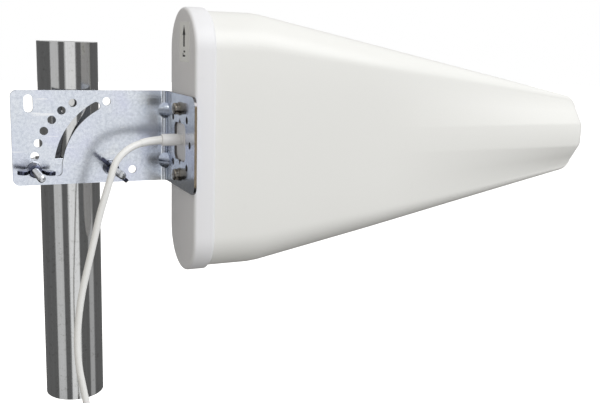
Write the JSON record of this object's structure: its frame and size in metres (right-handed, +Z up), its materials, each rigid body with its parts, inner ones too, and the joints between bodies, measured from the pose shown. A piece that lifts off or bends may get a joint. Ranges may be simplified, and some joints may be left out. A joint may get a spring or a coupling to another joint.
{
  "type": "log-periodic directional antenna",
  "caption": "Directional antenna in a tapered radome, held on a mast by an L bracket, saddle, U-bolt and wing nuts, with a coaxial pigtail.",
  "frame": {"origin": "centre of the mast tube's lower end", "axes": "+Z up along the mast, +X the way the antenna points, -Y towards the side that the bracket and the wing nuts are on"},
  "size_m": [0.5307, 0.1402, 0.3886],
  "materials": {
    "mast_steel": "polished steel tube, faintly brushed",
    "zinc_sheet": "bright zinc plate with spangle and fine scratches",
    "zinc_rod": "bright zinc, threaded ends",
    "wing_nut_zinc": "bright blue zinc, cast",
    "spring_steel": "spring steel",
    "nickel_screw": "nickel plated, bright",
    "cap_plastic": "white moulded ABS, satin",
    "radome_plastic": "white moulded ABS, semi-gloss",
    "label_film": "thin film label with a plain arrow",
    "gasket_rubber": "foam rubber",
    "inner_plastic": "black nylon",
    "boom_aluminium": "drawn aluminium tube",
    "brass_rod": "drawn brass",
    "gland_plastic": "white nylon",
    "sleeve_plastic": "white heat-shrink sleeve",
    "cable_jacket": "white PVC jacket, satin",
    "connector_nickel": "nickel-plated brass",
    "ptfe": "white PTFE",
    "gold_contact": "gold flash"
  },
  "bodies": {
    "mast": {"mast_tube": "mast_steel"},
    "antenna_head": {"bracket": "zinc_sheet", "saddle": "zinc_sheet", "leg_flat_washers": "zinc_rod", "leg_lock_washers": "spring_steel", "mount_screws": "nickel_screw", "screw_lock_washers": "nickel_screw", "screw_flat_washers": "nickel_screw", "end_cap": "cap_plastic", "cap_gasket": "gasket_rubber", "radome_shell": "radome_plastic", "direction_label": "label_film", "backing_plate": "zinc_sheet", "boom_holder": "inner_plastic", "boom_near": "boom_aluminium", "boom_far": "boom_aluminium", "spacer_rear": "inner_plastic", "spacer_middle": "inner_plastic", "spacer_front": "inner_plastic", "shorting_bridge": "brass_rod", "feed_strap": "brass_rod", "feed_screw": "spring_steel", "inner_coax": "cable_jacket", "cable_gland": "gland_plastic", "gland_nut": "gland_plastic", "strain_sleeve": "sleeve_plastic", "coax_cable": "cable_jacket", "connector_ferrule": "connector_nickel", "connector_body": "connector_nickel", "connector_insulator": "ptfe", "connector_contact": "gold_contact", "dipole_1_up": "brass_rod", "dipole_1_down": "brass_rod", "dipole_2_up": "brass_rod", "dipole_2_down": "brass_rod", "dipole_3_up": "brass_rod", "dipole_3_down": "brass_rod", "dipole_4_up": "brass_rod", "dipole_4_down": "brass_rod", "dipole_5_up": "brass_rod", "dipole_5_down": "brass_rod", "dipole_6_up": "brass_rod", "dipole_6_down": "brass_rod", "dipole_7_up": "brass_rod", "dipole_7_down": "brass_rod", "dipole_8_up": "brass_rod", "dipole_8_down": "brass_rod", "dipole_9_up": "brass_rod", "dipole_9_down": "brass_rod", "dipole_10_up": "brass_rod", "dipole_10_down": "brass_rod", "dipole_11_up": "brass_rod", "dipole_11_down": "brass_rod"},
    "u_bolt": {"u_bolt": "zinc_rod"},
    "index_wing_nut": {"wing_nut_index": "wing_nut_zinc"},
    "pivot_wing_nut": {"wing_nut_pivot": "wing_nut_zinc"}
  },
  "joints": [
    {"name": "azimuth_swivel", "type": "hinge", "parent": "mast", "child": "antenna_head", "pos_m": [0, 0, 0.2026], "axis": [0, 0, 1], "continuous": true},
    {"name": "index_wing_nut_turn", "type": "hinge", "parent": "antenna_head", "child": "index_wing_nut", "pos_m": [-0.0325, -0.032, 0.2026], "axis": [0, -1, 0], "range_deg": [0, 1440]},
    {"name": "pivot_wing_nut_turn", "type": "hinge", "parent": "antenna_head", "child": "pivot_wing_nut", "pos_m": [0.0275, -0.032, 0.2026], "axis": [0, -1, 0], "range_deg": [0, 1440]},
    {"name": "u_bolt_slide", "type": "slide", "parent": "antenna_head", "child": "u_bolt", "axis": [0, 1, 0], "range_m": [0, 0.0041]}
  ],
  "couplings": [
    {"joint": "pivot_wing_nut_turn", "follows": "index_wing_nut_turn", "ratio": 1},
    {"joint": "u_bolt_slide", "follows": "index_wing_nut_turn", "m_per_rad": 0.00015915}
  ]
}
